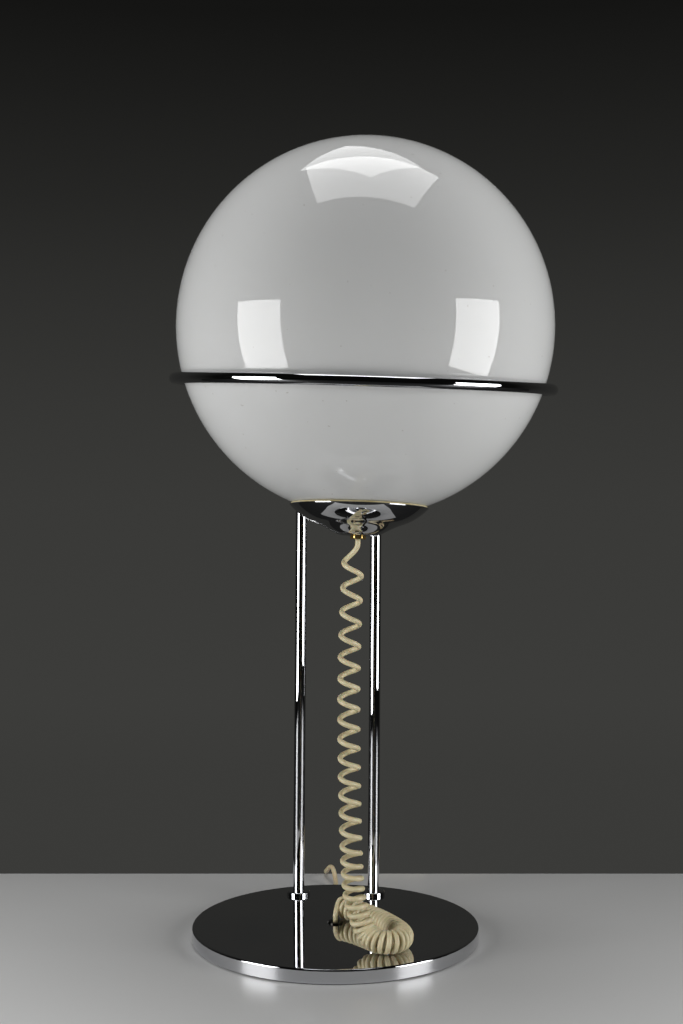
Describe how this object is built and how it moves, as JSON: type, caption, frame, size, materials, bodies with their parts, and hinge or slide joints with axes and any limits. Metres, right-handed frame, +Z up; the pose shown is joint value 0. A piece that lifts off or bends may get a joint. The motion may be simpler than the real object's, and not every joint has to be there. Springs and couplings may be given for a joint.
{
  "type": "table lamp",
  "caption": "Opal glass globe resting in a chromed hoop on slim legs above a heavy round base, with a cap under the globe and a curly cord down to the base.",
  "frame": {"origin": "centre of the round base's underside, on the table", "axes": "+Z up, -Y to the front, where the globe hangs forward of the legs, +X to the right seen from the front"},
  "size_m": [0.3598, 0.6253, 0.7626],
  "materials": {
    "polished_chrome": "mirror polished",
    "felt": "felt",
    "zinc_steel": "zinc plated",
    "clear_rubber": "soft",
    "opal_glass": "opal white, glossy",
    "soft_gasket": "soft, yellowed",
    "brass": "satin",
    "black_bakelite": "glossy",
    "porcelain": "glazed",
    "bulb_cap_metal": "plated",
    "bulb_glass": "frosted",
    "cream_cord": "satin",
    "lead_plastic": "satin",
    "switch_plastic": "satin",
    "plug_metal": "nickel plated"
  },
  "bodies": {
    "stand": {"base_cord": "cream_cord", "base_felt": "felt", "base_grommet": "brass", "base_plate": "polished_chrome", "clamp_screws": "zinc_steel", "cord_clamp": "zinc_steel", "curly_cord": "cream_cord", "foot_flange_left": "polished_chrome", "foot_flange_right": "polished_chrome", "hoop": "polished_chrome", "hoop_pads": "clear_rubber", "hoop_saddles": "polished_chrome", "hoop_screws": "polished_chrome", "lead_sleeve": "lead_plastic", "leg_bolts": "zinc_steel", "leg_left": "polished_chrome", "leg_plugs": "zinc_steel", "leg_right": "polished_chrome", "leg_washers": "zinc_steel", "mains_coil": "lead_plastic", "mains_lead_a": "lead_plastic", "mains_lead_b": "lead_plastic", "mains_lead_c": "lead_plastic", "plug_body": "switch_plastic", "plug_pins": "plug_metal", "plug_relief": "lead_plastic", "rocker_pin": "zinc_steel", "switch_body": "switch_plastic", "switch_reliefs": "lead_plastic"},
    "globe": {"glass_globe": "opal_glass"},
    "cap_unit": {"cap_shell": "polished_chrome", "cap_gasket": "soft_gasket", "lock_nut": "brass", "threaded_nipple": "brass", "cap_washer": "zinc_steel", "inner_nut": "brass", "cross_bar": "zinc_steel", "bar_nut": "brass", "lampholder_shell": "black_bakelite", "lampholder_ring": "black_bakelite", "lampholder_insert": "porcelain", "lampholder_contact": "brass", "feed_cord": "cream_cord"},
    "bulb": {"bulb_cap": "bulb_cap_metal", "bulb_tip": "bulb_cap_metal", "bulb_glass": "bulb_glass"},
    "rocker": {"switch_rocker": "switch_plastic"}
  },
  "joints": [
    {"name": "globe_tilt", "type": "hinge", "parent": "stand", "child": "globe", "pos_m": [0.02789, -0.07123, 0.58768], "axis": [0.991, 0.1322, -0.0231], "range_deg": [-40, 40], "deforming": ["curly_cord"]},
    {"name": "cap_turn", "type": "hinge", "parent": "globe", "child": "cap_unit", "pos_m": [0.02789, -0.07123, 0.58768], "axis": [0.0349, 0.0697, 0.997], "range_deg": [-90, 90], "deforming": ["curly_cord"]},
    {"name": "bulb_turn", "type": "hinge", "parent": "cap_unit", "child": "bulb", "pos_m": [0.02789, -0.07123, 0.58768], "axis": [0.0349, 0.0697, 0.997], "range_deg": [0, 900]},
    {"name": "switch_rock", "type": "hinge", "parent": "stand", "child": "rocker", "pos_m": [0.074, 0.2789, 0.0135], "axis": [0, 1, 0], "range_deg": [0, 14]}
  ]
}
